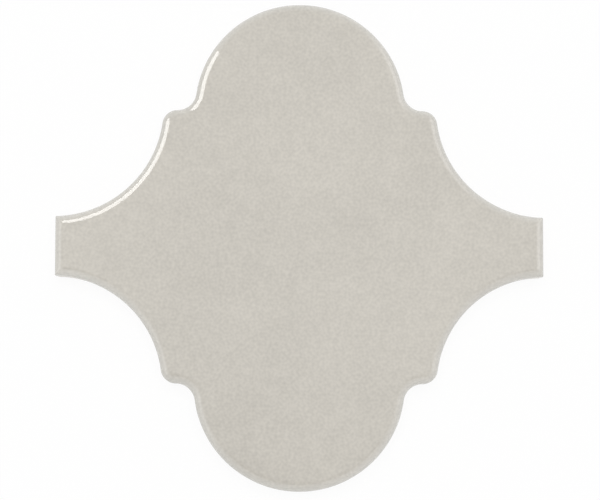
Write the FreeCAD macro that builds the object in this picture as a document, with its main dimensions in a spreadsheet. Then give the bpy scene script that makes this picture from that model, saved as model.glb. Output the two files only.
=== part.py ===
import FreeCAD, Part
import math
import os
import sys

import Sketcher

# One arabesque wall tile, lying on its back with the glazed face up. It is a
# single piece of white-body ceramic, pressed from dust, glazed and fired.
# Frame: origin at the middle of the back plane, +X along the right arm, +Y to
# the upper lobe, +Z up through the glazed face. Lengths are in millimetres.
# The outline is drawn at the foot of the land, the upright band of the sides.
# The slab is built up and down from there, and then stood on its back plane.
#
# The outline is one closed run of tangent arcs and two short straight ends.
# A big round lobe stands at the top and at the bottom, and an arm with a flat
# end reaches out on each side. Between lobe and arm runs a small S-bend, which
# is a hollow neck and then a rounded shoulder, and after it a deep cove.
# Laid tiles nest, each lobe in the bay between two coves, and the gap between
# them is even all the way round. So both tiles' arcs share their centres, and
# each arc lies half a joint inside the line that runs down the joint's middle.

SHEET = "Sizes"
SIZES = [
    ("tile_width", 120.0, "over the flat ends of the two arms"),
    ("arm_end_height", 14.65, "height of an arm's flat end"),
    ("joint_width", 1.0, "grout joint that the outline is drawn for"),
    ("bend_radius", 4.2, "radius of the joint's middle line in the S-bend"),
    ("thickness", 9.0, "from the back plane to the glazed face"),
    ("edge_round", 2.2, "rounding of the edge of the glazed face"),
    ("land_height", 2.0, "upright band of the sides, under the rounding"),
    ("side_draft", 2.0, "degrees that the sides lean in from the land to the back"),
    ("back_bevel", 0.8, "bevel round the edge of the back"),
    ("grip_margin", 5.0, "plain band of the back, from the outline to the grip"),
    ("grip_arm_margin", 14.0, "plain end of an arm's back, from its flat end"),
    ("grip_depth", 0.8, "depth of the cells between the grip's ribs"),
    ("grip_draft", 30.0, "degrees that the walls of the cells lean"),
    ("rib_pitch", 8.0, "ribs of the grip, middle to middle"),
    ("rib_width", 1.6, "flat of a rib, at the back plane"),
]
WORKED_OUT = [
    ("cove_across", "(tile_width + joint_width) / 2", "centre of a cove, from the middle"),
    ("bend_across", "cove_across / 2", "centres of a neck and its shoulder"),
    ("centre_gap", "hypot(bend_across; bend_radius)", "between centres of touching arcs"),
    ("neck_radius", "bend_radius + joint_width / 2", "hollow next to a lobe"),
    ("shoulder_radius", "bend_radius - joint_width / 2", "bulge next to a cove"),
    ("lobe_radius", "centre_gap - neck_radius", "big round end"),
    ("cove_radius", "centre_gap - shoulder_radius", "bay that takes the next lobe"),
    ("lobe_rise", "arm_end_height / 2 + sqrt(cove_radius ^ 2 - (joint_width / 2) ^ 2)",
     "centres of a lobe and its coves, from the middle"),
    ("tile_height", "2 * (lobe_rise + lobe_radius)", "over the two lobes"),
    ("land_level", "thickness - edge_round - land_height", "foot of the land"),
]

# Sketcher's numbers for the points of a curve, and for its own axes and origin
FIRST, LAST, CENTRE = range(1, 4)
X_AXIS, Y_AXIS = range(-1, -3, -1)
ORIGIN = (X_AXIS, FIRST)


def make_sheet(doc):
    """Write the sizes and what follows from them, each with its alias and note."""
    sheet = doc.addObject("Spreadsheet::Sheet", SHEET)
    rows = [(name, str(value), note) for name, value, note in SIZES]
    rows += [(name, "=" + formula, note) for name, formula, note in WORKED_OUT]
    for row, (name, content, note) in enumerate(rows, start=1):
        sheet.set(f"A{row}", name)
        sheet.set(f"B{row}", content)
        sheet.set(f"C{row}", note)
        sheet.setAlias(f"B{row}", name)
    doc.recompute()
    return sheet


def expression(formula):
    """In a formula here, $name stands for a size on the sheet."""
    return formula.replace("$", SHEET + ".")


def bind(target, path, formula):
    """Tie a property to the sheet."""
    target.setExpression(path, expression(formula))


def origin_plane(body, role):
    """One of the body's own three origin planes."""
    return next(plane for plane in body.Origin.OriginFeatures if plane.Role == role)


def new_sketch(body, name, role="XY_Plane"):
    """An empty sketch on one of the body's origin planes, by default the level one."""
    sketch = body.newObject("Sketcher::SketchObject", name)
    sketch.AttachmentSupport = [(origin_plane(body, role), "")]
    sketch.MapMode = "FlatFace"
    return sketch


def rule(sketch, kind, *items):
    """Add a constraint that needs no number."""
    sketch.addConstraint(Sketcher.Constraint(kind, *items))


def dimension(sketch, name, formula, kind, *items):
    """Add a dimension that follows the sheet."""
    value = sketch.evalExpression(expression(formula))
    index = sketch.addConstraint(Sketcher.Constraint(kind, *items, value))
    sketch.renameConstraint(index, name)
    bind(sketch, f"Constraints.{name}", formula)


def across(sketch, name, formula, side, point):
    """Dimension how far a point lies right (side 1) or left (-1) of the middle."""
    pair = (*ORIGIN, *point) if side > 0 else (*point, *ORIGIN)
    dimension(sketch, name, formula, "DistanceX", *pair)


def outward(sketch, name, formula, way, inner, outer):
    """Dimension how far one point lies above (way 1) or below (-1) another."""
    pair = (*inner, *outer) if way > 0 else (*outer, *inner)
    dimension(sketch, name, formula, "DistanceY", *pair)


def corner_angle(beside, other, opposite):
    """Angle between two sides of a triangle, in degrees, from all three sides."""
    cosine = (beside ** 2 + other ** 2 - opposite ** 2) / (2 * beside * other)
    return math.degrees(math.acos(cosine))


def mirrored(curve):
    """The same arc on the left of the middle, run the other way."""
    role, x, y, radius, first, last = curve
    return role, -x, y, radius, 180 - last, 180 - first


def turned(curve):
    """The same arc after half a turn about the middle."""
    role, x, y, radius, first, last = curve
    return role, -x, -y, radius, first + 180, last + 180


def upper_curves(sheet, inset, reach):
    """The arcs from the right arm's end, over the upper lobe, to the left arm's end.

    Each is its role, the x and y of its centre, its radius, and the angles at
    which the run enters and leaves it, in degrees. The run lies inset from the
    outline, and its arm ends at reach. Far enough in, nothing is left of the
    shoulder, and the neck's arc runs on until it meets the cove's.
    """
    slope = math.degrees(math.atan2(sheet.bend_radius, sheet.bend_across))
    cove = sheet.cove_radius + inset
    neck = sheet.neck_radius + inset
    shoulder = sheet.shoulder_radius - inset
    arm_side = 360 - math.degrees(math.acos((reach - sheet.cove_across) / cove))
    bend = sheet.bend_across
    rise = sheet.lobe_rise
    if shoulder > 0:
        right = [
            ("Cove", sheet.cove_across, rise, cove, arm_side, 180 + slope),
            ("Shoulder", bend, rise - sheet.bend_radius, shoulder, slope, 90),
            ("Neck", bend, rise + sheet.bend_radius, neck, 270, 180 + slope),
        ]
    else:
        on_cove = 180 - slope + corner_angle(cove, sheet.centre_gap, neck)
        on_neck = 360 - slope - corner_angle(neck, sheet.centre_gap, cove)
        right = [
            ("Cove", sheet.cove_across, rise, cove, arm_side, on_cove),
            ("Neck", bend, rise + sheet.bend_radius, neck, on_neck, 180 + slope),
        ]
    lobe = ("Lobe", 0, rise, sheet.lobe_radius - inset, slope, 180 - slope)
    return [*right, lobe, *(mirrored(curve) for curve in reversed(right))]


def draw_arc(sketch, curve):
    """Draw an arc. Return the ends where the run enters and leaves it."""
    _, x, y, radius, first, last = curve
    circle = Part.Circle(FreeCAD.Vector(x, y, 0), FreeCAD.Vector(0, 0, 1), radius)
    low, high = math.radians(min(first, last)), math.radians(max(first, last))
    number = sketch.addGeometry(Part.ArcOfCircle(circle, low, high), False)
    enter, leave = (FIRST, LAST) if first < last else (LAST, FIRST)
    return (number, enter), (number, leave)


def draw_half(sketch, half, curves, inset):
    """Draw, join and dimension the arcs of one half. Return the two ends of its run."""
    way = 1 if half == "Upper" else -1
    run = [draw_arc(sketch, curve) for curve in curves]
    roles = [curve[0] for curve in curves]
    for place in range(len(run) - 1):
        corner = set(roles[place:place + 2]) == {"Neck", "Cove"}
        rule(sketch, "Coincident" if corner else "Tangent", *run[place][1], *run[place + 1][0])

    lobe = (run[roles.index("Lobe")][0][0], CENTRE)
    rule(sketch, "PointOnObject", *lobe, Y_AXIS)
    outward(sketch, half + "LobeRise", "$lobe_rise", way, ORIGIN, lobe)
    for (role, x, *_), (start, _) in zip(curves, run):
        number, centre = start[0], (start[0], CENTRE)
        side = math.copysign(1, x)
        name = half + ("Right" if side > 0 else "Left") + role
        if role == "Neck":
            dimension(sketch, name, "$neck_radius + " + inset, "Radius", number)
            across(sketch, name + "Across", "$bend_across", side, centre)
            if side > 0:
                outward(sketch, name + "Rise", "$bend_radius", way, lobe, centre)
        if role == "Shoulder":
            dimension(sketch, name, "$shoulder_radius - " + inset, "Radius", number)
            across(sketch, name + "Across", "$bend_across", side, centre)
        if role == "Cove":
            across(sketch, name + "Across", "$cove_across", side, centre)
            rule(sketch, "Horizontal", *lobe, *centre)
            if "Shoulder" not in roles:
                dimension(sketch, name, "$cove_radius + " + inset, "Radius", number)
    return run[0][0], run[-1][1]


def draw_arm_end(sketch, side, reach, low, high):
    """Close the shape across an arm with an upright line between two corners."""
    line = Part.LineSegment(sketch.getPoint(*low), sketch.getPoint(*high))
    number = sketch.addGeometry(line, False)
    rule(sketch, "Coincident", number, FIRST, *low)
    rule(sketch, "Coincident", number, LAST, *high)
    rule(sketch, "Vertical", number)
    name = "RightReach" if side > 0 else "LeftReach"
    across(sketch, name, reach, side, (number, FIRST))


def draw_shape(body, name, sheet, inset, reach):
    """The tile's shape, or one that lies a little inside it, fully constrained."""
    sketch = new_sketch(body, name)
    upper = upper_curves(sheet, sketch.evalExpression(expression(inset)),
                         sketch.evalExpression(expression(reach)))
    lower = [turned(curve) for curve in upper]
    upper_right, upper_left = draw_half(sketch, "Upper", upper, inset)
    lower_left, lower_right = draw_half(sketch, "Lower", lower, inset)
    draw_arm_end(sketch, 1, reach, lower_right, upper_right)
    draw_arm_end(sketch, -1, reach, lower_left, upper_left)
    return sketch


def side_faces(shape):
    """Names of the faces that stand on edge round a plain slab."""
    middle = shape.BoundBox.Center.z
    tolerance = shape.BoundBox.ZLength / 4
    return [f"Face{number}" for number, face in enumerate(shape.Faces, start=1)
            if abs(face.CenterOfMass.z - middle) < tolerance]


def level_edges(shape, level):
    """Names of the edges that lie flat at one height."""
    return [f"Edge{number}" for number, edge in enumerate(shape.Edges, start=1)
            if all(abs(vertex.Z - level) < 1e-6 for vertex in edge.Vertexes)]


def press_blank(doc, body, sheet):
    """The plain slab: sides that lean in below the land, and upright ones above."""
    outline = draw_shape(body, "Outline", sheet, "0", "$tile_width / 2")
    lower = body.newObject("PartDesign::Pad", "BelowLand")
    lower.Profile = outline
    lower.Reversed = True
    bind(lower, "Length", "$land_level")
    doc.recompute()
    sides = body.newObject("PartDesign::Draft", "LeaningSides")
    sides.Base = (lower, side_faces(lower.Shape))
    sides.NeutralPlane = (origin_plane(body, "XY_Plane"), [""])
    sides.Reversed = True
    bind(sides, "Angle", "$side_draft")

    upper = body.newObject("PartDesign::Pad", "LandAndFace")
    upper.Profile = outline
    bind(upper, "Length", "$edge_round + $land_height")
    doc.recompute()
    return upper


def finish_edges(doc, body, blank):
    """Round the edge of the face and bevel the edge of the back.

    The rounding has to stay under the radius of the shoulders, the outline's
    tightest bulges, so they limit it.
    """
    rounded = body.newObject("PartDesign::Fillet", "RoundedEdge")
    rounded.Base = (blank, level_edges(blank.Shape, blank.Shape.BoundBox.ZMax))
    bind(rounded, "Radius", "min($edge_round; 0.9 * $shoulder_radius)")
    doc.recompute()

    bevel = body.newObject("PartDesign::Chamfer", "BackBevel")
    bevel.Base = (rounded, level_edges(rounded.Shape, rounded.Shape.BoundBox.ZMin))
    bind(bevel, "Size", "$back_bevel")
    doc.recompute()


def draw_groove(die, name, role, per_side):
    """Section of the first groove: a rib's flat at the back plane, wider above it."""
    sketch = new_sketch(die, name, role)
    corners = [FreeCAD.Vector(x, y, 0) for x, y in ((-3, 0), (-2, 0), (-1, 1), (-4, 1))]
    sides = [sketch.addGeometry(Part.LineSegment(*pair), False)
             for pair in zip(corners, corners[1:] + corners[:1])]
    foot, head = sides[0], sides[2]
    for side, following in zip(sides, sides[1:] + sides[:1]):
        rule(sketch, "Coincident", side, LAST, following, FIRST)
    rule(sketch, "Horizontal", head)
    rule(sketch, "PointOnObject", foot, FIRST, X_AXIS)
    rule(sketch, "PointOnObject", foot, LAST, X_AXIS)
    from_middle = f"{per_side} * $rib_pitch + $rib_width / 2"
    widening = "$grip_depth * tan($grip_draft)"
    dimension(sketch, "Start", from_middle, "DistanceX", foot, FIRST, *ORIGIN)
    dimension(sketch, "Flat", "$rib_width", "DistanceX", foot, FIRST, foot, LAST)
    dimension(sketch, "Lean", widening, "DistanceX", head, LAST, foot, FIRST)
    dimension(sketch, "Width", "$rib_width + 2 * " + widening,
              "DistanceX", head, LAST, head, FIRST)
    dimension(sketch, "Depth", "$grip_depth", "DistanceY", foot, FIRST, head, LAST)
    return sketch


def cut_grooves(die, name, role, per_side):
    """Cut a row of grooves right through the die, evenly about its middle."""
    section = draw_groove(die, name + "Section", role, per_side)
    groove = die.newObject("PartDesign::Pocket", name + "Groove")
    groove.Profile = section
    groove.Type = "ThroughAll"
    groove.SideType = "Symmetric"
    grooves = die.newObject("PartDesign::LinearPattern", name + "Grooves")
    grooves.Originals = [groove]
    grooves.Direction = (section, ["H_Axis"])
    grooves.Occurrences = 2 * per_side + 1
    bind(grooves, "Length", f"{2 * per_side} * $rib_pitch")
    die.Tip = grooves


def make_die(doc, sheet):
    """The die that presses the grip into the back.

    It stands proud over the whole back but a plain band along the outline, and
    crossing grooves in it leave the ribs. Two ribs cross at the very middle of
    the back, so that the back plane is there. Its plate lies outside the tile,
    as far below the back plane as the cells are deep.
    """
    die = doc.addObject("PartDesign::Body", "GripDie")
    reach = "$tile_width / 2 - $grip_arm_margin"
    plateau = die.newObject("PartDesign::Pad", "Plateau")
    plateau.Profile = draw_shape(die, "GripBorder", sheet, "$grip_margin", reach)
    plateau.SideType = "Two sides"
    bind(plateau, "Length", "$grip_depth")
    bind(plateau, "Length2", "$grip_depth")
    doc.recompute()
    rim = die.newObject("PartDesign::Chamfer", "LeaningRim")
    rim.Base = (plateau, level_edges(plateau.Shape, plateau.Shape.BoundBox.ZMax))
    rim.ChamferType = "Two distances"
    bind(rim, "Size", "$grip_depth")
    bind(rim, "Size2", "$grip_depth * tan($grip_draft)")

    columns = int((sheet.tile_width / 2 - sheet.grip_arm_margin) / sheet.rib_pitch)
    rows = int((sheet.tile_height / 2 - sheet.grip_margin) / sheet.rib_pitch)
    cut_grooves(die, "Upright", "XZ_Plane", columns)
    cut_grooves(die, "Crosswise", "YZ_Plane", rows)
    bind(die, "Placement.Base.z", "-$land_level")
    return die


def press_grip(doc, body, die):
    """Press the grip, which keys the adhesive, into the back."""
    pressed = body.newObject("PartDesign::Boolean", "Grip")
    pressed.setObjects([die])
    pressed.Type = "Cut"
    body.Tip = pressed
    bind(body, "Placement.Base.z", "$land_level")
    doc.recompute()


def check(doc, body):
    """Stop if any feature failed, or the solid isn't sound."""
    for item in doc.Objects:
        if "Invalid" in item.State or "Error" in item.State:
            sys.exit(f"{item.Label} failed: {item.State}")
    shape = body.Shape
    if shape.isNull() or not shape.isValid() or len(shape.Solids) != 1:
        sys.exit(f"{body.Label} is not one sound solid")


def main():
    doc = FreeCAD.newDocument("WallTile")
    sheet = make_sheet(doc)
    body = doc.addObject("PartDesign::Body", "Tile")
    body.Label = "arabesque_tile"
    blank = press_blank(doc, body, sheet)
    finish_edges(doc, body, blank)
    plain_volume = body.Tip.Shape.Volume
    die = make_die(doc, sheet)
    press_grip(doc, body, die)
    check(doc, body)

    shape = body.Shape
    floors = [face for face in shape.Faces if abs(face.CenterOfMass.z - sheet.grip_depth) < 1e-6]
    print(f"tile {sheet.tile_width:.1f} x {sheet.tile_height:.1f} x {sheet.thickness:.1f} mm")
    print(f"lobe radius {sheet.lobe_radius:.2f}, cove radius {sheet.cove_radius:.2f}")
    print(f"grip of {len(floors)} cells takes {plain_volume - shape.Volume:.0f} mm3"
          f" of {plain_volume:.0f}")
    os.makedirs("parts", exist_ok=True)
    shape.exportStep(f"parts/{body.Label}.step")


main()
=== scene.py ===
# %% [markdown]
# # Moroccan arabesque tile
# The real thing is a wall tile of white clay. Its dust is pressed in a steel
# die, the face is glazed, and it is fired until the glaze melts into one skin.
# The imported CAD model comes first, because it fixes the size and the place of
# everything that follows. Lengths below are in millimetres, and MM turns them
# into Blender's metres where an object or a material is made.

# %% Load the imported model
import math

import bpy
import numpy as np
from mathutils import Matrix, Vector, noise
from mathutils.geometry import delaunay_2d_cdt


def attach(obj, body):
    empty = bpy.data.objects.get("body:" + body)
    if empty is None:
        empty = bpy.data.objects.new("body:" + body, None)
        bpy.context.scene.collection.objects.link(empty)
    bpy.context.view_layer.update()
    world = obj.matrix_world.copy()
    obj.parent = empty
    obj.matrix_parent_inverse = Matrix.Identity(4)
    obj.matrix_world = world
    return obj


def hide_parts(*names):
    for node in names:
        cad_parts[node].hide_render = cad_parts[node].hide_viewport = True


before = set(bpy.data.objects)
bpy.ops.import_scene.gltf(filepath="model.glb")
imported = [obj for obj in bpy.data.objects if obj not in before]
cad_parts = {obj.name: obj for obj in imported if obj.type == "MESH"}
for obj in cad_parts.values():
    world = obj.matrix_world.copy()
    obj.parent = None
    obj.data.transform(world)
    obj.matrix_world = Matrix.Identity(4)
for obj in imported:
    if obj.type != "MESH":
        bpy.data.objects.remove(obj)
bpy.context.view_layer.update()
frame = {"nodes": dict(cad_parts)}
MM = 0.001
print("CAD parts:", ", ".join(frame["nodes"]))

# %% [markdown]
# ## The outline
# On the wall such tiles nest: every lobe sits in the bay of two coves with an
# even joint round it. The outline could be drawn by eye with a Bezier curve,
# but then it would not nest. So it is worked out from the laying pattern, as
# the die maker does. Each arc lies half a joint inside the line that runs down
# the middle of the joint, and all arcs touch their neighbours smoothly.

# %% Sizes of the outline
TILE_WIDTH = 120.0
ARM_END_HEIGHT = 14.65
JOINT_WIDTH = 1.0
BEND_RADIUS = 4.2

cove_across = (TILE_WIDTH + JOINT_WIDTH) / 2
bend_across = cove_across / 2
centre_gap = math.hypot(bend_across, BEND_RADIUS)
neck_radius = BEND_RADIUS + JOINT_WIDTH / 2
shoulder_radius = BEND_RADIUS - JOINT_WIDTH / 2
lobe_radius = centre_gap - neck_radius
cove_radius = centre_gap - shoulder_radius
lobe_rise = ARM_END_HEIGHT / 2 + math.sqrt(cove_radius**2 - (JOINT_WIDTH / 2) ** 2)
slope = math.atan2(BEND_RADIUS, bend_across)
print(f"lobe radius {lobe_radius:.2f}, cove radius {cove_radius:.2f}, rise {lobe_rise:.2f}")

# %% [markdown]
# ## Rings round the edge
# The rounded edge is what catches the light, so it needs clean, even faces. A
# bevel modifier would pinch at the tight bends. Here each ring of points is the
# outline moved in by some distance, and every ring has the same number of
# points, so neighbouring rings join up in neat quads. The corners of the arms
# are eased a little, more so further in, as glaze does when it melts.

# %% Runs of points
def arc(x, y, radius, first, last, steps):
    """Points along an arc, but not its last one, which the next run starts with."""
    angles = np.linspace(first, last, steps, endpoint=False)
    return np.column_stack((x + radius * np.cos(angles), y + radius * np.sin(angles)))


def mirror_round(quarter):
    """The whole ring from its first quarter, which runs from the x axis to the y axis."""
    over = quarter[::-1] * (-1, 1)
    return np.vstack((quarter[:-1], over[:-1], -quarter[:-1], -over[:-1]))


print("a quarter turn in 3 steps:", np.round(arc(0, 0, 1.0, 0, math.pi / 2, 3), 2).tolist())

# %% Points of one ring
ARM_STEPS, CORNER_STEPS, COVE_STEPS, BEND_STEPS, LOBE_STEPS = 10, 6, 60, 15, 60
CORNER_EASING, EASING_GROWTH = 0.3, 0.12


def ring(inset):
    """The outline moved in by a distance, up to about 3 mm."""
    easing = CORNER_EASING + EASING_GROWTH * max(inset, 0.0)
    reach = TILE_WIDTH / 2 - inset
    corner_x = reach - easing
    corner_y = lobe_rise - math.sqrt(
        (cove_radius + inset + easing) ** 2 - (cove_across - corner_x) ** 2)
    turn = math.atan2(lobe_rise - corner_y, cove_across - corner_x)
    heights = np.linspace(0.0, corner_y, ARM_STEPS, endpoint=False)
    quarter = np.vstack((
        np.column_stack((np.full(ARM_STEPS, reach), heights)),
        arc(corner_x, corner_y, easing, 0.0, turn, CORNER_STEPS),
        arc(cove_across, lobe_rise, cove_radius + inset, turn + math.pi,
            math.pi + slope, COVE_STEPS),
        arc(bend_across, lobe_rise - BEND_RADIUS, shoulder_radius - inset, slope,
            math.pi / 2, BEND_STEPS),
        arc(bend_across, lobe_rise + BEND_RADIUS, neck_radius + inset, 1.5 * math.pi,
            math.pi + slope, BEND_STEPS),
        arc(0.0, lobe_rise, lobe_radius - inset, slope, math.pi / 2, LOBE_STEPS),
        [(0.0, lobe_rise + lobe_radius - inset)],
    ))
    return mirror_round(quarter)


edge = ring(0.0)
ring_count = len(edge)
print(f"{ring_count} points in each ring")

# %% [markdown]
# ## How far inside
# The back and the face also need to know how far any point lies inside the
# outline. For arcs that is plain arithmetic with the distance to each centre,
# so no search over the mesh is needed.

# %% Distance inside the outline
def inside_wide_arcs(x, y):
    """Distance in from the coves, necks and lobes, in the first quarter."""
    cove = np.hypot(x - cove_across, y - lobe_rise) - cove_radius
    neck = np.hypot(x - bend_across, y - lobe_rise - BEND_RADIUS) - neck_radius
    lobe = np.where(np.arctan2(y - lobe_rise, x) > slope,
                    lobe_radius - np.hypot(x, y - lobe_rise), np.inf)
    return np.minimum.reduce((cove, neck, lobe))


def depth_inside(x, y):
    """Distance in from the outline, for arrays of points inside it."""
    x, y = np.abs(x), np.abs(y)
    across, up = x - bend_across, y - lobe_rise + BEND_RADIUS
    angle = np.arctan2(up, across)
    shoulder = np.where((angle > slope) & (angle < math.pi / 2),
                        shoulder_radius - np.hypot(across, up), np.inf)
    return np.minimum.reduce((inside_wide_arcs(x, y), shoulder, TILE_WIDTH / 2 - x))


print(f"the middle lies {depth_inside(np.array([0.0]), np.array([0.0]))[0]:.1f} mm inside")

# %% [markdown]
# ## Small unevenness
# Nothing fired is perfectly flat. Blender's noise function gives smooth bumps
# that are the same on every run, so the tile needs no random numbers. Its third
# coordinate serves as a seed: another one gives other bumps of the same kind.

# %% Smooth noise over points
def waves(points, size, seed):
    """Smooth noise between about -1 and 1, with bumps of the given size in mm."""
    return np.array([noise.noise(Vector((x / size, y / size, seed))) for x, y in points])


print("noise at the first points of the edge:", np.round(waves(edge[:3], 2.2, 8.1), 2))

# %% [markdown]
# ## Profile of the glazed edge
# The die leaves a 2.2 mm rounding round the face. Melted glaze softens it: it
# keeps its round shape outside, and then runs out slowly into the level face.
# The profile is built from the tilt of the surface, because the tilt decides
# where the gloss line lies. It is added up from the edge to the face.

# %% Tilt of the rounding
THICKNESS = 9.0
EDGE_ROUND = 2.2
SOFT_TILT = math.radians(14)
SOFT_RUN = 0.40
FACE_INSET = 3.1


def surface_tilt(inset):
    """Angle of the surface from level, at a distance in from the outline."""
    soft_from = EDGE_ROUND * (1 - math.sin(SOFT_TILT))
    if inset < soft_from:
        return math.asin(min(1.0, (EDGE_ROUND - inset) / EDGE_ROUND))
    fade = 1 - (inset - soft_from) / (FACE_INSET - soft_from)
    return SOFT_TILT * math.exp((soft_from - inset) / SOFT_RUN) * max(fade, 0.0)


print(f"1 mm in, the surface is {math.degrees(surface_tilt(1.0)):.0f} degrees from level")

# %% Rounding, from the level face down to the upright side
STEEP_ANGLES = np.radians(np.linspace(0, 72, 17))
GENTLE_INSETS = np.linspace(1.65, FACE_INSET, 9)
SLICES = 40

steep_insets = [EDGE_ROUND * (1 - math.cos(angle)) for angle in STEEP_ANGLES]
edge_insets = np.array(steep_insets + list(GENTLE_INSETS))
drops = [0.0]
for near, far in zip(edge_insets[:-1], edge_insets[1:]):
    cuts = np.linspace(near, far, SLICES + 1)
    middles = (cuts[1:] + cuts[:-1]) / 2
    slopes = [math.tan(surface_tilt(middle)) for middle in middles]
    drops.append(drops[-1] + sum(slopes) * (far - near) / SLICES)
edge_levels = THICKNESS - (drops[-1] - np.array(drops))
print(f"the rounding starts at z {edge_levels[0]:.2f} and ends at z {edge_levels[-1]:.2f}")

# %% [markdown]
# ## Where the glaze stops
# The glaze is poured over the face and runs a little way down the sides. It
# stops in a ragged line, with a thin raised lip and here and there a short
# tear. Below it the bare clay shows. The line could be painted, but a real lip
# catches light and reads as a coat with a thickness, so it is modelled.

# %% Level of the glaze line round the tile
GLAZE_COAT = 0.09
GLAZE_LEVEL = 5.35
LINE_WANDER, LINE_RIPPLE = 0.30, 0.16
TEAR_THRESHOLD, TEAR_LENGTH = 0.28, 1.9

tears = np.clip(waves(edge, 7.0, 21.3) - TEAR_THRESHOLD, 0.0, 1.0)
glaze_line = (GLAZE_LEVEL + LINE_WANDER * waves(edge, 9.0, 3.7)
              + LINE_RIPPLE * waves(edge, 2.2, 8.1) - TEAR_LENGTH * tears)
print(f"the glaze stops between z {glaze_line.min():.2f} and z {glaze_line.max():.2f}")

# %% [markdown]
# ## The sides
# Under the rounding comes an upright band, the land, and below it the sides
# lean in a little so that the tile comes out of its die. A bevel runs round the
# back. Each row below is one ring: how far in it lies and at what height.

# %% Rows of the side, from the rounding down to the bevel
LAND_LEVEL = 4.8
SIDE_DRAFT = math.tan(math.radians(2.0))
BACK_BEVEL = 0.8
LAND_SHARES = (0.35, 0.7)
# Height above the glaze line, then distance in, which is negative where the lip stands out.
LIP = ((0.55, 0.0), (0.30, -0.02), (0.16, -0.035), (0.06, -0.03), (0.01, 0.01),
       (0.0, GLAZE_COAT))
CLAY_SHARES = (0.04, 0.25, 0.5, 0.75, 0.95)


def side_inset(level):
    """How far in the pressed side lies at a level."""
    return SIDE_DRAFT * np.clip(LAND_LEVEL - level, 0.0, None)


rows = []
for inset, level in zip(edge_insets[::-1], edge_levels[::-1]):
    rows.append((np.full(ring_count, inset), np.full(ring_count, level)))
side_top = edge_levels[0]
for share in LAND_SHARES:
    level = side_top + share * (glaze_line + LIP[0][0] - side_top)
    rows.append((side_inset(level), level))
for above, inward in LIP:
    level = glaze_line + above
    rows.append((side_inset(level) + inward, level))
glazed_rows = len(rows) - 1
for share in CLAY_SHARES:
    level = glaze_line + share * (BACK_BEVEL - glaze_line)
    rows.append((side_inset(level) + GLAZE_COAT * (1 - share), level))
print(f"{len(rows)} rows so far, the first {glazed_rows} bands of them glazed")

# %% [markdown]
# The bevel of the back is pressed, so its two edges are a little soft, and its
# width wanders slightly where the dust filled the die unevenly. It is as high
# as it is wide. Three rows go round its upper edge and three round its foot.

# %% Bevel of the back
BEVEL_SOFT = 0.18
BEVEL_WANDER = 0.05

wander = BEVEL_WANDER * waves(edge, 6.0, 14.2)
bevel_top = side_inset(BACK_BEVEL)
bevel_foot = side_inset(0.0) + BACK_BEVEL
for inset, level in (
    (bevel_top, BACK_BEVEL),
    (bevel_top + 0.05, BACK_BEVEL - BEVEL_SOFT / 2),
    (bevel_top + 0.17, BACK_BEVEL - BEVEL_SOFT * 1.3),
    (bevel_foot - 0.17, BEVEL_SOFT * 1.1),
    (bevel_foot - 0.02, BEVEL_SOFT / 3),
    (bevel_foot + 0.16, 0.0),
):
    rows.append((inset + wander * (1.0 if level < BACK_BEVEL else 0.0),
                 np.full(ring_count, level)))
print(f"{len(rows)} rows of {ring_count} points")

# %% [markdown]
# ## Placing the rings
# Each row has its own distance in for every point, so one whole ring is not
# enough. The outline's own inward direction does the rest: a point moves from
# the plain ring at the row's mean distance by what is left.

# %% Points of the rows
def inward_of(points):
    """Unit vectors that point into the tile, square to the ring."""
    along = np.roll(points, -1, axis=0) - np.roll(points, 1, axis=0)
    inward = np.column_stack((-along[:, 1], along[:, 0]))
    return inward / np.linalg.norm(inward, axis=1, keepdims=True)


def row_points(inset, level):
    """Points of one row, from how far in and how high each of them lies."""
    mean = float(np.mean(inset))
    plain = ring(mean)
    shifted = plain + inward_of(plain) * (inset - mean)[:, None]
    return np.column_stack((shifted, level))


row_sets = [row_points(inset, level) for inset, level in rows]
print(f"rows span z {row_sets[-1][:, 2].min():.2f} to {row_sets[0][:, 2].max():.2f}")

# %% [markdown]
# ## The glazed face
# The face is nearly flat, but glaze pools and settles, so it has very shallow
# waves, a hundredth of a millimetre high. They are what makes its reflections
# look like glaze and not like glass. One large face with many corners could not
# bend like that. So the inside of the last ring is filled with even triangles
# by a Delaunay triangulation, which joins given points without slivers. It
# keeps only the triangles within the ring: others would lie outside the hollow
# parts of the outline, and the mesh would not be closed.

# %% Filling a ring with triangles
WITHIN_BOUNDARY = 1
SAME_POINT = 1e-6


def fill(boundary, inner, chains):
    """Triangles between a closed boundary, loose points and closed chains of points.

    Returns the points, the triangles, and for each boundary point its number.
    """
    points = [tuple(p) for p in boundary] + [tuple(p) for p in inner]
    edges = [(i, (i + 1) % len(boundary)) for i in range(len(boundary))]
    for chain in chains:
        first = len(points)
        points += [tuple(p) for p in chain]
        edges += [(first + i, first + (i + 1) % len(chain)) for i in range(len(chain))]
    made, _, triangles, origins, _, _ = delaunay_2d_cdt(
        [Vector(p) for p in points], edges, [], WITHIN_BOUNDARY, SAME_POINT)
    made = np.array([tuple(p) for p in made])
    place = {}
    for number, sources in enumerate(origins):
        for source in sources:
            place[source] = number
    return made, triangles, [place[i] for i in range(len(boundary))]


print("fill() is ready for the face and the back")

# %% The face as triangles
FACE_SPACING = 1.2
RIM_CLEARANCE = 0.7
# Half the height of the pattern of points, and a shift that keeps it off the axes.
PATTERN_REACH = 62.0
PATTERN_SHIFT = (0.137, 0.091)


def even_points(spacing, keep):
    """Points in a triangular pattern over the tile, where keep says so."""
    across = np.arange(-TILE_WIDTH / 2, TILE_WIDTH / 2, spacing)
    up = np.arange(-PATTERN_REACH, PATTERN_REACH, spacing * math.sqrt(3) / 2)
    x, y = np.meshgrid(across, up)
    x = x + (np.arange(len(up)) % 2)[:, None] * spacing / 2
    x = x.ravel() + spacing * PATTERN_SHIFT[0]
    y = y.ravel() + spacing * PATTERN_SHIFT[1]
    kept = keep(x, y)
    return np.column_stack((x[kept], y[kept]))


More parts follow.
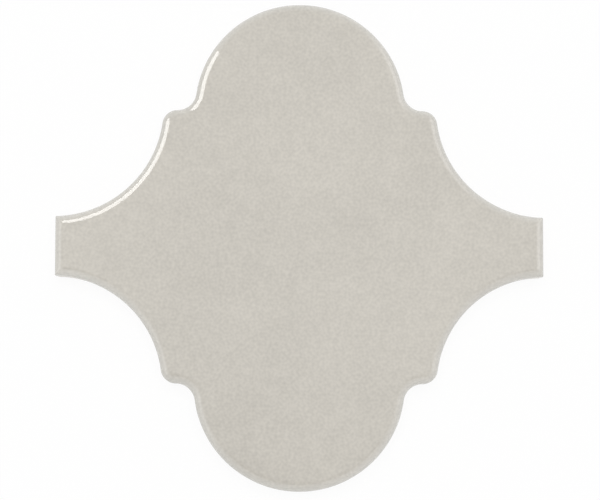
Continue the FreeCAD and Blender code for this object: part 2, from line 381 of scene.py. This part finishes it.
face_inner = even_points(
    FACE_SPACING, lambda x, y: depth_inside(x, y) > FACE_INSET + RIM_CLEARANCE)
face_points, face_triangles, face_rim = fill(row_sets[0][:, :2], face_inner, [])
print(f"face of {len(face_triangles)} triangles")

# %% [markdown]
# The waves are added to the height of the face's points. Over the rounding they
# die away with the height, so that the edge keeps its profile.

# %% Shallow waves in the glaze
POOL_HEIGHT, POOL_SIZE = 0.012, 17.0
RIPPLE_HEIGHT, RIPPLE_SIZE = 0.005, 6.0


def glaze_waves(points):
    """Height of the glaze's waves in mm."""
    return (POOL_HEIGHT * waves(points, POOL_SIZE, 5.2)
            + RIPPLE_HEIGHT * waves(points, RIPPLE_SIZE, 1.9))


face = np.column_stack((face_points, THICKNESS + glaze_waves(face_points)))
for points in row_sets[:len(edge_insets)]:
    share = (points[:, 2] - edge_levels[0]) / (THICKNESS - edge_levels[0])
    points[:, 2] += share * glaze_waves(points[:, :2])
print(f"the face lies between z {face[:, 2].min():.3f} and z {face[:, 2].max():.3f}")

# %% [markdown]
# ## The grip on the back
# The back of a pressed tile has a pattern of ribs and shallow cells, which the
# adhesive grips. A boolean with a die would cut it, but leave knife edges.
# Here the back is a height above the bed: it is zero on the ribs, and it rises
# smoothly into each cell with the distance from the cell's own edge. The cells
# end at a plain band that follows the outline.

# %% Distance into the cells
GRIP_MARGIN = 5.0
GRIP_REACH = 46.0
RIB_PITCH = 8.0
RIB_WIDTH = 1.6
LAST_UPRIGHT, LAST_CROSSWISE = 40.0, 48.0


def from_ribs(across, last_rib):
    """Distance into a cell from the nearest rib's edge, in one direction."""
    nearest_rib = np.clip(np.round(across / RIB_PITCH) * RIB_PITCH, -last_rib, last_rib)
    return np.abs(across - nearest_rib) - RIB_WIDTH / 2


def from_border(x, y):
    """Distance in from the line where the plain band ends."""
    x, y = np.abs(x), np.abs(y)
    return np.minimum(inside_wide_arcs(x, y) - GRIP_MARGIN, GRIP_REACH - x)


print(f"cells of {RIB_PITCH - RIB_WIDTH:.1f} mm between ribs of {RIB_WIDTH:.1f} mm")

# %% Height of the back above its bed
GRIP_DEPTH = 0.8
WALL_RUN = GRIP_DEPTH * math.tan(math.radians(30))
RIM_SOFT = 0.14
CORNER_SOFT = 0.5


def soft_least(first, second):
    """The smaller of two distances, rounded off where they are nearly the same."""
    mix = np.clip(0.5 + 0.5 * (second - first) / CORNER_SOFT, 0.0, 1.0)
    return second * (1 - mix) + first * mix - CORNER_SOFT * mix * (1 - mix)


def back_height(x, y):
    """Height of the back's surface in mm."""
    least = soft_least(from_ribs(x, LAST_UPRIGHT), from_ribs(y, LAST_CROSSWISE))
    least = soft_least(least, from_border(x, y))
    rise = np.clip((least + RIM_SOFT) / (WALL_RUN + 2 * RIM_SOFT), 0.0, 1.0)
    return GRIP_DEPTH * rise * rise * (3 - 2 * rise)


print(f"cell walls rise over {WALL_RUN + 2 * RIM_SOFT:.2f} mm")

# %% [markdown]
# Triangles follow the walls only if there are points along them. So lines of
# points run along both sides of every rib at a few distances, and closed chains
# follow the border of the plain band at the same distances.

# %% Lines of points along the ribs
WALL_STATIONS = np.linspace(-RIM_SOFT, WALL_RUN + RIM_SOFT, 6)
CELL_LINE = 0.9
CROSSWISE_REACH = 56.0


def rib_lines(last_rib, end):
    """Where the lines of points lie, for the ribs that run one way."""
    lines = []
    for rib in np.arange(-last_rib, last_rib + 1, RIB_PITCH):
        for station in WALL_STATIONS:
            lines += [rib - RIB_WIDTH / 2 - station, rib + RIB_WIDTH / 2 + station]
        lines += [rib, rib + RIB_PITCH / 2 - CELL_LINE, rib + RIB_PITCH / 2 + CELL_LINE]
    lines += [-last_rib - RIB_PITCH / 2]
    return np.array(sorted(line for line in lines if abs(line) < end))


upright_lines = rib_lines(LAST_UPRIGHT, GRIP_REACH)
crosswise_lines = rib_lines(LAST_CROSSWISE, CROSSWISE_REACH)
print(f"{len(upright_lines)} upright and {len(crosswise_lines)} crosswise lines of points")

# %% Chains of points along the border
CHAIN_ARM, CHAIN_COVE, CHAIN_NECK, CHAIN_LOBE = 9, 48, 20, 48


def border_chain(station):
    """The border of the plain band, moved in by a distance."""
    reach = GRIP_REACH - station
    cove = cove_radius + GRIP_MARGIN + station
    neck = neck_radius + GRIP_MARGIN + station
    lobe = lobe_radius - GRIP_MARGIN - station
    arm_side = 2 * math.pi - math.acos((reach - cove_across) / cove)
    on_cove = math.pi - slope + math.acos(
        (cove**2 + centre_gap**2 - neck**2) / (2 * cove * centre_gap))
    on_neck = 2 * math.pi - slope - math.acos(
        (neck**2 + centre_gap**2 - cove**2) / (2 * neck * centre_gap))
    corner_y = lobe_rise + cove * math.sin(arm_side)
    heights = np.linspace(0, corner_y, CHAIN_ARM, endpoint=False)
    quarter = np.vstack((
        np.column_stack((np.full(CHAIN_ARM, reach), heights)),
        arc(cove_across, lobe_rise, cove, arm_side, on_cove, CHAIN_COVE),
        arc(bend_across, lobe_rise + BEND_RADIUS, neck, on_neck, math.pi + slope,
            CHAIN_NECK),
        arc(0.0, lobe_rise, lobe, slope, math.pi / 2, CHAIN_LOBE),
        [(0.0, lobe_rise + lobe_radius - GRIP_MARGIN - station)],
    ))
    return mirror_round(quarter)


print(f"{len(border_chain(0.0))} points in each chain before its crossings")

# %% [markdown]
# Where a chain crosses a line of points it gets a point of its own, so that the
# wall of a rib meets the wall of the border without teeth.

# %% Crossing points on the chains
SHORTEST_STEP = 0.04


def with_crossings(chain):
    """The chain with points added where it crosses the lines."""
    made = []
    for start, end in zip(chain, np.roll(chain, -1, axis=0)):
        shares = {0.0}
        for axis, lines in ((0, upright_lines), (1, crosswise_lines)):
            low, high = sorted((start[axis], end[axis]))
            for line in lines[(lines > low) & (lines < high)]:
                shares.add((line - start[axis]) / (end[axis] - start[axis]))
        length = max(np.linalg.norm(end - start), 1e-9)
        kept = []
        for share in sorted(shares):
            spaced = not kept or (share - kept[-1]) * length > SHORTEST_STEP
            if spaced and (1 - share) * length > SHORTEST_STEP:
                kept.append(share)
        made += [start + share * (end - start) for share in kept]
    return np.array(made)


chains = [with_crossings(border_chain(station)) for station in WALL_STATIONS]
print(f"{sum(map(len, chains))} points along the border")

# %% [markdown]
# The lines of both ways cross in a grid of points, of which those inside the
# border are kept, apart from any that nearly touch a chain. The plain band
# outside the border has the same even pattern as the face.

# %% Points on the grip and on the plain band
CHAIN_CLEARANCE = 0.05
BAND_SPACING = 1.6
BAND_INSET = 1.9

grid_x, grid_y = (a.ravel() for a in np.meshgrid(upright_lines, crosswise_lines))
border_gap = from_border(grid_x, grid_y)
clear = np.min(np.abs(border_gap[:, None] - WALL_STATIONS), axis=1) > CHAIN_CLEARANCE
grid = np.column_stack((grid_x, grid_y))[clear & (border_gap > 0.0)]
band = even_points(BAND_SPACING, lambda x, y: (
    (depth_inside(x, y) > BAND_INSET) & (from_border(x, y) < -RIM_CLEARANCE)))
print(f"{len(grid)} points on the ribs and cells, {len(band)} on the plain band")

# %% [markdown]
# The points are joined up in the same way as the face's, and each is lifted to
# its height. Pressed dust is never quite level, so all but the outermost rim
# also gets a trace of unevenness.

# %% The back as triangles
PRESSING_HEIGHT = 0.02
PRESSED_INSET = 1.6

back_points, back_triangles, back_rim = fill(
    row_sets[-1][:, :2], np.vstack((grid, band)), chains)
pressing = (PRESSING_HEIGHT * (1 + waves(back_points, 3.1, 11.0))
            * (depth_inside(*back_points.T) > PRESSED_INSET))
back = np.column_stack((back_points, back_height(*back_points.T) + pressing))
print(f"back of {len(back_triangles)} triangles, cells {back[:, 2].max():.2f} mm deep")

# %% [markdown]
# ## One solid skin
# All parts now become one closed mesh. The rings share their end points with
# the face and the back, so the mesh is watertight and could be printed as it is.
# Faces above the glaze line get the first material and the rest the second.

# %% Bands of quads down the side
GLAZED, BARE = 0, 1

vertices = list(row_sets)
faces = []
finish = []
for row in range(len(row_sets) - 1):
    upper, lower = row * ring_count, (row + 1) * ring_count
    for i in range(ring_count):
        j = (i + 1) % ring_count
        faces.append((upper + i, lower + i, lower + j, upper + j))
        finish.append(GLAZED if row < glazed_rows else BARE)
print(f"{len(faces)} quads down the side")

# %% The face and the back join in
def add_cap(points, triangles, rim, first_of_rim, material, upward):
    """Add a filled cap, whose rim is a ring that is there already."""
    number = {inner: first_of_rim + i for i, inner in enumerate(rim)}
    first = sum(map(len, vertices))
    extra = [i for i in range(len(points)) if i not in number]
    number.update({i: first + k for k, i in enumerate(extra)})
    vertices.append(points[extra])
    for a, b, c in triangles:
        faces.append((number[a], number[b], number[c]) if upward
                     else (number[c], number[b], number[a]))
        finish.append(material)


last_ring = (len(row_sets) - 1) * ring_count
add_cap(face, face_triangles, face_rim, 0, GLAZED, True)
add_cap(back, back_triangles, back_rim, last_ring, BARE, False)

skin = bpy.data.meshes.new("arabesque_tile_skin")
skin.from_pydata((np.vstack(vertices) * MM).tolist(), [], faces)
skin.polygons.foreach_set("material_index", finish)
skin.polygons.foreach_set("use_smooth", [True] * len(faces))
skin.update()
sound = not skin.validate()
print(f"{len(skin.vertices)} points, {len(skin.polygons)} faces, sound: {sound}")

# %% [markdown]
# ## How far below the glaze line
# The bare clay next to the glaze is not the same colour as the rest: salts from
# the glaze leave a faint warm flash. The material can look that up if each point
# of the mesh stores how far below the line it lies. The back counts as far
# below it and the face as far above.

# %% Store the distance below the glaze line
FAR = 9.0

below = np.full(len(skin.vertices), FAR)
for row, points in enumerate(row_sets):
    first = row * ring_count
    below[first:first + ring_count] = glaze_line - points[:, 2]
face_first = len(row_sets) * ring_count
below[face_first:face_first + len(face) - ring_count] = -FAR
below_glaze = skin.attributes.new("below_glaze", "FLOAT", "POINT")
below_glaze.data.foreach_set("value", below.astype(np.float32))
print(f"flash reaches over {np.sum((below > 0) & (below < 1))} points")

# %% [markdown]
# ## Building blocks for the finishes
# A photograph wrapped round the tile would blur close up and stretch at the
# edge. A procedural finish is worked out at every point instead, by a graph of
# nodes: noise textures give a value, a ramp turns the value into a colour, and
# the colour goes to the shader. A few short functions keep the graphs readable.

# %% A new finish and its sums
def new_finish(name):
    """A material with its node tree and its shader."""
    material = bpy.data.materials.new(name)
    material.use_nodes = True
    return material, material.node_tree, material.node_tree.nodes["Principled BSDF"]


def worked_out(tree, operation, first, second):
    """Result of a Math node for a socket, and a number or a second socket."""
    node = tree.nodes.new("ShaderNodeMath")
    node.operation = operation
    tree.links.new(first, node.inputs[0])
    if isinstance(second, float):
        node.inputs[1].default_value = second
    else:
        tree.links.new(second, node.inputs[1])
    return node.outputs["Value"]


def added_up(tree, total, parts):
    """A starting number plus every value times its weight."""
    for value, weight in parts:
        step = tree.nodes.new("ShaderNodeMath")
        step.operation = "MULTIPLY_ADD"
        tree.links.new(value, step.inputs[0])
        step.inputs[1].default_value = weight
        if isinstance(total, float):
            step.inputs[2].default_value = total
        else:
            tree.links.new(total, step.inputs[2])
        total = step.outputs["Value"]
    return total


print("sums of nodes ready")

# %% Noise and height over the tile
def place_on_tile(tree):
    """Where a point lies on the tile, in metres."""
    return tree.nodes.new("ShaderNodeTexCoord").outputs["Object"]


def height_on_tile(tree):
    """How high a point lies above the bed, in metres."""
    split = tree.nodes.new("ShaderNodeSeparateXYZ")
    tree.links.new(place_on_tile(tree), split.inputs["Vector"])
    return split.outputs["Z"]


def blobs(tree, size, detail=2.0):
    """Noise over the tile, with blobs of about this size in mm."""
    texture = tree.nodes.new("ShaderNodeTexNoise")
    texture.inputs["Scale"].default_value = 1 / (size * MM)
    texture.inputs["Detail"].default_value = detail
    tree.links.new(place_on_tile(tree), texture.inputs["Vector"])
    return texture.outputs["Fac"]


def grain(tree, parts):
    """Adds noises up, each about its own middle, round 0.5."""
    return added_up(tree, 0.5 - sum(weight for _, weight in parts) / 2, parts)


print("noise ready")

# %% Ranges, tints, mixes and bumps
def spread(tree, value, low, high, to_low, to_high, soft=False):
    """Stretches one range of values over another, gently at both ends if it is soft."""
    node = tree.nodes.new("ShaderNodeMapRange")
    node.interpolation_type = "SMOOTHSTEP" if soft else "LINEAR"
    tree.links.new(value, node.inputs["Value"])
    for name, number in (("From Min", low), ("From Max", high),
                         ("To Min", to_low), ("To Max", to_high)):
        node.inputs[name].default_value = number
    return node.outputs["Result"]


def tints(tree, value, colour, dark, light, first=0.0, last=1.0):
    """A ramp between two tints of a colour, as the value goes from first to last."""
    node = tree.nodes.new("ShaderNodeValToRGB")
    stops = ((first, dark), (last, light))
    for element, (place, factor) in zip(node.color_ramp.elements, stops):
        element.position = place
        element.color = (*(channel * factor for channel in colour), 1.0)
    tree.links.new(value, node.inputs["Fac"])
    return node.outputs["Color"]


def mixed(tree, share, first, second):
    """Mixes two colours. The node's sockets for colours are numbers 6, 7 and 2."""
    node = tree.nodes.new("ShaderNodeMix")
    node.data_type = "RGBA"
    tree.links.new(share, node.inputs["Factor"])
    tree.links.new(first, node.inputs[6])
    tree.links.new(second, node.inputs[7])
    return node.outputs[2]


def roughen(tree, shader, value, height):
    """Bumps from a value, height in mm between its low and high."""
    node = tree.nodes.new("ShaderNodeBump")
    node.inputs["Distance"].default_value = height * MM
    tree.links.new(value, node.inputs["Height"])
    tree.links.new(node.outputs["Normal"], shader.inputs["Normal"])


print("tints and bumps ready")

# %% [markdown]
# ## Glaze
# The glaze is a warm light grey and melts to a smooth gloss. Looked at closely,
# its colour is not even: grains of frit leave a fine speckle under half a
# millimetre wide, and the coat is a little thicker in some places than others.
# Three sizes of noise give this, and a ramp keeps the tints close together. On
# the rounding the coat is thin, so the pale clay shines through. The tint there
# is also made paler than thin glaze alone would be. That is painted sheen: it
# stands in for the glancing reflection along the edge and lifts the shade of the
# steep rounding.

# %% The glaze
GLAZE_COLOUR = (0.588, 0.559, 0.503)
# The paler tint for the rounding is partly thin glaze and partly painted sheen, lighter to
# paint in edge reflection and lift the rounding's shade.
THIN_GLAZE_AND_SHEEN_COLOUR = (0.677, 0.658, 0.610)
FRIT_SIZE, SPOT_SIZE, CLOUD_SIZE = 0.68, 3.5, 22.0
THIN_AND_SHEEN_FROM, THIN_AND_SHEEN_WHOLE = 8.97, 8.15
THIN_AND_SHEEN_POWER = 0.6
GLAZE_ROUGHNESS = (0.09, 0.14)
GLAZE_IOR = 1.52
RIPPLE_BUMP = 0.0006

glaze, tree, shader = new_finish("glaze")
speckle = grain(tree, [(blobs(tree, FRIT_SIZE, 0.0), 0.88),
                       (blobs(tree, SPOT_SIZE), 0.42), (blobs(tree, CLOUD_SIZE), 0.55)])
full = tints(tree, speckle, GLAZE_COLOUR, 0.88, 1.12)
# Towards the edge the colour mixes into the paler tint, which is thin glaze plus painted
# sheen.
thin_glaze_and_sheen = tints(tree, speckle, THIN_GLAZE_AND_SHEEN_COLOUR, 0.9, 1.1)
drop = spread(tree, height_on_tile(tree), THIN_AND_SHEEN_FROM * MM, THIN_AND_SHEEN_WHOLE * MM, 0.0, 1.0)
thinness_and_sheen = worked_out(tree, "POWER", drop, THIN_AND_SHEEN_POWER)
tree.links.new(mixed(tree, thinness_and_sheen, full, thin_glaze_and_sheen), shader.inputs["Base Color"])
tree.links.new(spread(tree, blobs(tree, 5.0), 0.3, 0.7, *GLAZE_ROUGHNESS),
               shader.inputs["Roughness"])
shader.inputs["IOR"].default_value = GLAZE_IOR
roughen(tree, shader, blobs(tree, 1.6, 1.0), RIPPLE_BUMP)
print("glaze has", len(tree.nodes), "nodes")

# %% [markdown]
# ## Bare clay
# The fired body is called biscuit. It is off-white and dry, with the fine grain
# of pressed dust and a few dark specks of iron. On the back it often carries a
# smear of white wash that keeps it from sticking in the kiln. Next to the glaze
# it has the warm flash. Each of these is one more colour that is mixed in where
# its own mask is high: the wash on the ribs' tops, the flash by the distance
# that the mesh stores, and the specks in the middles of Voronoi cells.

# %% The biscuit, with its wash
BISCUIT_COLOUR = (0.700, 0.640, 0.550)
WASH_COLOUR = (0.800, 0.770, 0.710)
DUST_RANGE = (0.2, 0.8)
WASH_ABOVE, WASH_WHOLE = 0.12, 0.03
WASH_MOST = 0.85

biscuit, tree, shader = new_finish("biscuit")
dust = grain(tree, [(blobs(tree, 0.35), 0.8), (blobs(tree, 2.6), 0.5),
                    (blobs(tree, 18.0), 0.5)])
body = tints(tree, dust, BISCUIT_COLOUR, 0.86, 1.10, *DUST_RANGE)
wash = tints(tree, dust, WASH_COLOUR, 0.93, 1.05, *DUST_RANGE)
on_ribs = spread(tree, height_on_tile(tree), WASH_ABOVE * MM, WASH_WHOLE * MM, 0.0, 1.0)
patchy = spread(tree, blobs(tree, 9.0, 4.0), 0.46, 0.60, 0.0, WASH_MOST)
colour = mixed(tree, worked_out(tree, "MULTIPLY", on_ribs, patchy), body, wash)
print("biscuit has", len(tree.nodes), "nodes so far")

# %% Flash and iron specks on the biscuit
FLASH_COLOUR = (0.560, 0.430, 0.310)
FLASH_WIDTH, FLASH_MOST = 0.9, 0.45
IRON_COLOUR = (0.250, 0.170, 0.110)
IRON_SPACING, IRON_MOST = 2.4, 0.7
IRON_FADES, IRON_WHOLE = 0.055, 0.035
BISCUIT_ROUGHNESS = 0.92
BISCUIT_IOR = 1.35
DUST_BUMP = 0.05

distance = tree.nodes.new("ShaderNodeAttribute")
distance.attribute_name = "below_glaze"
flash = spread(tree, distance.outputs["Fac"], 0.0, FLASH_WIDTH, FLASH_MOST, 0.0)
flashed = tints(tree, dust, FLASH_COLOUR, 0.9, 1.1, *DUST_RANGE)
colour = mixed(tree, flash, colour, flashed)

cells = tree.nodes.new("ShaderNodeTexVoronoi")
cells.inputs["Scale"].default_value = 1 / (IRON_SPACING * MM)
tree.links.new(place_on_tile(tree), cells.inputs["Vector"])
iron = spread(tree, cells.outputs["Distance"], IRON_FADES, IRON_WHOLE, 0.0, IRON_MOST)
specks = tints(tree, dust, IRON_COLOUR, 0.9, 1.1, *DUST_RANGE)
tree.links.new(mixed(tree, iron, colour, specks), shader.inputs["Base Color"])
shader.inputs["Roughness"].default_value = BISCUIT_ROUGHNESS
shader.inputs["IOR"].default_value = BISCUIT_IOR
roughen(tree, shader, dust, DUST_BUMP)
print("biscuit has", len(tree.nodes), "nodes")

# %% [markdown]
# ## The piece
# The tile is one fired piece, so it is one object. It takes the place of the
# plain CAD solid, which stays hidden for collision, and rides on the only body.

# %% The tile
tile = bpy.data.objects.new("arabesque_tile_fired", skin)
bpy.context.scene.collection.objects.link(tile)
skin.materials.append(glaze)
skin.materials.append(biscuit)
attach(tile, "root")
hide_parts("arabesque_tile")
print("tile size in mm:", [round(x / MM, 2) for x in tile.dimensions])

# %% [markdown]
# ## Floor and surroundings
# The tile was photographed on plain white. A white floor alone would render
# light grey, so what the camera and reflections see is mostly its own even
# white, and a small share of the lit floor keeps the soft shadow under the tile.

# %% What is seen directly
def seen_directly(tree):
    """1 for camera, mirror and glass rays, else 0."""
    path = tree.nodes.new("ShaderNodeLightPath")
    total = path.outputs["Is Camera Ray"]
    for name in ("Is Glossy Ray", "Is Transmission Ray"):
        total = worked_out(tree, "MAXIMUM", total, path.outputs[name])
    return total


def mix_shaders(tree, share, first, second):
    """Mixes two shaders: all of the first at a share of 0, all of the second at 1."""
    node = tree.nodes.new("ShaderNodeMixShader")
    tree.links.new(share, node.inputs["Fac"])
    tree.links.new(first, node.inputs[1])
    tree.links.new(second, node.inputs[2])
    return node.outputs["Shader"]


print("ready for the floor and the world")

# %% The white floor
FLOOR_SIZE = 6.0
FLOOR_COLOUR = (0.97, 0.97, 0.97)
EVEN_SHARE = 0.92

half = FLOOR_SIZE / 2
sheet = bpy.data.meshes.new("floor")
sheet.from_pydata([(-half, -half, 0), (half, -half, 0), (half, half, 0), (-half, half, 0)],
                  [], [(0, 1, 2, 3)])
floor = bpy.data.objects.new("floor", sheet)
bpy.context.scene.collection.objects.link(floor)
white_floor, tree, shader = new_finish("white_floor")
shader.inputs["Base Color"].default_value = (*FLOOR_COLOUR, 1.0)
shader.inputs["Roughness"].default_value = 1.0
shader.inputs["Specular IOR Level"].default_value = 0.0
glow = tree.nodes.new("ShaderNodeEmission")
share = spread(tree, seen_directly(tree), 0.0, 1.0, 0.0, EVEN_SHARE)
out = next(node for node in tree.nodes if node.type == "OUTPUT_MATERIAL")
tree.links.new(mix_shaders(tree, share, shader.outputs["BSDF"], glow.outputs["Emission"]),
               out.inputs["Surface"])
sheet.materials.append(white_floor)
print(f"floor {FLOOR_SIZE:.0f} m wide")

# %% [markdown]
# ## What the glaze mirrors
# Glaze is a mirror that gives back about a twentieth of what stands before it,
# so the tile looks glazed only if its surroundings have light and dark places.
# The photograph shows three: a wide soft window to the right, a low one to the
# left, and the dark camera, whose mirror image is a faint shade low on the
# face. Here they belong to the world and show only in mirror rays. Real panels
# would also light the clay and would stand in the way in other views.

# %% Places in the world
def near_direction(tree, ray, azimuth, height, wide, narrow):
    """0 for rays more than wide degrees off a direction, 1 for those within narrow."""
    azimuth, height = math.radians(azimuth), math.radians(height)
    dot = tree.nodes.new("ShaderNodeVectorMath")
    dot.operation = "DOT_PRODUCT"
    tree.links.new(ray, dot.inputs[0])
    dot.inputs[1].default_value = (math.cos(azimuth) * math.cos(height),
                                   math.sin(azimuth) * math.cos(height), math.sin(height))
    return spread(tree, dot.outputs["Value"], math.cos(math.radians(wide)),
                  math.cos(math.radians(narrow)), 0.0, 1.0, soft=True)


def level_ray(tree, ray):
    """The ray's direction over the ground, whatever its height."""
    flat = tree.nodes.new("ShaderNodeVectorMath")
    flat.operation = "MULTIPLY"
    tree.links.new(ray, flat.inputs[0])
    flat.inputs[1].default_value = (1.0, 1.0, 0.0)
    unit = tree.nodes.new("ShaderNodeVectorMath")
    unit.operation = "NORMALIZE"
    tree.links.new(flat.outputs["Vector"], unit.inputs[0])
    return unit.outputs["Vector"]


print("ready for the places that the glaze mirrors")

# %% Light and dark places that the glaze mirrors
# Azimuth and height, then how far off it ends and how far it is whole, in degrees.
WINDOW = (18, 0, 36, 14)
LOW_LEFT = (182, 25, 38, 8)
CAMERA_SIDE = (-88, 74, 18, 10)
# How much each adds to the white, which is 1.
WINDOW_LIGHT, LOW_LEFT_LIGHT, CAMERA_SHADE = 1.9, 1.6, -1.0
# A ray's height is 0 at the ground and 1 straight up.
GROUND_LIGHT = 0.05
LOW_FADE = (0.12, 0.60)
HIGH_FADE = (0.80, 0.985)

world = bpy.data.worlds.new("white_studio")
world.use_nodes = True
tree = world.node_tree
ray = tree.nodes.new("ShaderNodeTexCoord").outputs["Generated"]
split = tree.nodes.new("ShaderNodeSeparateXYZ")
tree.links.new(ray, split.inputs["Vector"])
not_low = spread(tree, split.outputs["Z"], *LOW_FADE, GROUND_LIGHT, 1.0, soft=True)
not_high = spread(tree, split.outputs["Z"], *HIGH_FADE, 1.0, 0.0, soft=True)
window = worked_out(tree, "MULTIPLY", near_direction(tree, level_ray(tree, ray), *WINDOW),
                    worked_out(tree, "MULTIPLY", not_low, not_high))
low_left = worked_out(tree, "MULTIPLY", near_direction(tree, ray, *LOW_LEFT), not_low)
camera_side = near_direction(tree, ray, *CAMERA_SIDE)
mirrored = added_up(tree, 0.0, ((window, WINDOW_LIGHT), (low_left, LOW_LEFT_LIGHT),
                                (camera_side, CAMERA_SHADE)))
print("the world has", len(tree.nodes), "nodes so far")

# %% [markdown]
# What is seen directly gets the plain white, to which mirror rays add the light
# and dark places. Everything else, which is what lights the tile, gets an even
# dimmer white.

# %% The white world
AMBIENT = 0.605

ambient = tree.nodes["Background"]
ambient.inputs["Color"].default_value = (1.0, 1.0, 1.0, 1.0)
ambient.inputs["Strength"].default_value = AMBIENT
backdrop = tree.nodes.new("ShaderNodeBackground")
backdrop.inputs["Color"].default_value = (1.0, 1.0, 1.0, 1.0)
path = tree.nodes.new("ShaderNodeLightPath")
strength = tree.nodes.new("ShaderNodeMath")
strength.operation = "MULTIPLY_ADD"
tree.links.new(mirrored, strength.inputs[0])
tree.links.new(path.outputs["Is Glossy Ray"], strength.inputs[1])
strength.inputs[2].default_value = 1.0
tree.links.new(strength.outputs["Value"], backdrop.inputs["Strength"])
out = next(node for node in tree.nodes if node.type == "OUTPUT_WORLD")
tree.links.new(mix_shaders(tree, seen_directly(tree), ambient.outputs["Background"],
                           backdrop.outputs["Background"]), out.inputs["Surface"])
bpy.context.scene.world = world
print("the world has", len(tree.nodes), "nodes")

# %% [markdown]
# ## Lamp overhead
# A wide lamp overhead, a little towards the upper lobe, lights the tile evenly
# and gives its soft shadow. The level face would mirror it as a bright square,
# so it is kept out of mirror rays: what the glaze mirrors is set by the world.

# %% The lamp
LAMP_CENTRE = (0, 250, 1480)
LAMP_SIZE = 900
LAMP_RADIANCE = 3.65

lamp_data = bpy.data.lights.new("overhead", "AREA")
lamp_data.shape = "SQUARE"
lamp_data.size = LAMP_SIZE * MM
lamp_data.energy = LAMP_RADIANCE * math.pi * lamp_data.size**2
lamp = bpy.data.objects.new("overhead", lamp_data)
bpy.context.scene.collection.objects.link(lamp)
lamp.location = Vector(LAMP_CENTRE) * MM
lamp.rotation_mode = "QUATERNION"
lamp.rotation_quaternion = (-Vector(LAMP_CENTRE)).to_track_quat("-Z", "Y")
lamp.visible_camera = False
lamp.visible_glossy = False
print("overhead energy", round(lamp_data.energy, 3))

# %% [markdown]
# ## Strip light over the edge
# The photograph has one clean bright line along the upper left of the rounded
# edge, which is the mirror image of a lamp. A large panel would do the same in
# this one view, but from the other side its image would lie across the whole
# face. So the lamp is a narrow strip that follows the outline just above the
# rounding: the rounding mirrors it as a line, and the level face only right
# beside the edge. Its two rims set how wide the line is and how far in it lies.

# %% Rims of the strip light
LINE_INSET = 1.5
LINE_RUNS = (((-58.5, 4.0), (-31.9, 31.6)), ((-27.2, 32.6), (-19.0, 48.5)))
TAPER = 0.8
THINNEST = 0.05
ARM_STARTS, ARM_WHOLE = 36.0, 52.0
# Inset, inset along the arm, level, and how much higher it lies along the arm.
INNER_RIM = (1.74, 2.02, 9.40, 0.0)
OUTER_RIM = (0.20, 0.90, 8.96, 0.32)


def rim_points(chosen, arm, inset, arm_inset, level, arm_rise):
    """Points of one rim of the strip, which lies a little differently along the arm."""
    place = ring(inset)[chosen] * (1 - arm) + ring(arm_inset)[chosen] * arm
    return np.hstack((place, level + arm_rise * arm))


def strip_rims(corner, far_corner):
    """Inner and outer rim of the strip, over the part of the line within a box."""
    line = ring(LINE_INSET)
    chosen = ((line > corner) & (line < far_corner)).all(axis=1)
    run = line[chosen]
    along = np.concatenate(([0.0], np.cumsum(np.hypot(*np.diff(run, axis=0).T))))
    from_end = np.minimum(along, along[-1] - along)
    fullness = np.clip(from_end / TAPER, THINNEST, 1.0)[:, None]
    arm = np.clip((-run[:, 0] - ARM_STARTS) / (ARM_WHOLE - ARM_STARTS), 0.0, 1.0)[:, None]
    inner = rim_points(chosen, arm, *INNER_RIM)
    outer = rim_points(chosen, arm, *OUTER_RIM)
    middle = (inner + outer) / 2
    return middle + fullness * (inner - middle), middle + fullness * (outer - middle)


rims = [strip_rims(corner, far_corner) for corner, far_corner in LINE_RUNS]
print("points along the strip's runs:", [len(inner_rim) for inner_rim, _ in rims])

# %% The strip light
STRIP_RADIANCE = 8.5

strip_points, strip_faces = [], []
for inner_rim, outer_rim in rims:
    first, count = len(strip_points), len(inner_rim)
    strip_points += [tuple(point * MM) for point in np.vstack((inner_rim, outer_rim))]
    strip_faces += [(first + i, first + i + 1, first + count + i + 1, first + count + i)
                    for i in range(count - 1)]
strip_mesh = bpy.data.meshes.new("strip_light")
strip_mesh.from_pydata(strip_points, [], strip_faces)
strip = bpy.data.objects.new("strip_light", strip_mesh)
bpy.context.scene.collection.objects.link(strip)
strip_glow, tree, shader = new_finish("strip_glow")
shader.inputs["Base Color"].default_value = (0.0, 0.0, 0.0, 1.0)
shader.inputs["Specular IOR Level"].default_value = 0.0
shader.inputs["Emission Color"].default_value = (1.0, 1.0, 1.0, 1.0)
shader.inputs["Emission Strength"].default_value = STRIP_RADIANCE
strip_mesh.materials.append(strip_glow)
strip.visible_camera = False
strip.visible_diffuse = False
strip.visible_transmission = False
strip.visible_shadow = False
print("strip light has", len(strip_faces), "faces")

# %% [markdown]
# ## Camera
# The photograph looks down on the tile, from a little towards its lower lobe,
# through a long lens. The lens follows from the scale in the picture and the
# distance, and the distance from how slightly the picture narrows upwards.

# %% The photograph's camera
PICTURE_WIDTH = 600
SENSOR = 36.0
PIXELS_PER_MM = 4.0677
DISTANCE = 567.0
TILT = math.radians(4.29)
YAW = math.radians(-0.944)
ROLL = 0.00364
AIM = (0.092, -0.838, 6.8)

camera_data = bpy.data.cameras.new("camera")
camera_data.sensor_width = SENSOR
camera_data.lens = PIXELS_PER_MM * DISTANCE * SENSOR / PICTURE_WIDTH
camera = bpy.data.objects.new("camera", camera_data)
bpy.context.scene.collection.objects.link(camera)
facing = (Matrix.Rotation(TILT, 3, "X") @ Matrix.Rotation(YAW, 3, "Y")
          @ Matrix.Rotation(ROLL, 3, "Z"))
camera.location = (Vector(AIM) + facing @ Vector((0, 0, DISTANCE))) * MM
camera.rotation_mode = "QUATERNION"
camera.rotation_quaternion = facing.to_quaternion()
bpy.context.scene.camera = camera
print(f"lens {camera_data.lens:.1f} mm at {DISTANCE:.0f} mm")

# %% [markdown]
# ## Colours as they are
# Blender's usual view of colours is soft, like film, and greys pale surfaces.
# The plain Standard view shows the glaze about as its colour is written above.

# %% The plain view of colours
bpy.context.scene.view_settings.view_transform = "Standard"
print("view transform:", bpy.context.scene.view_settings.view_transform)
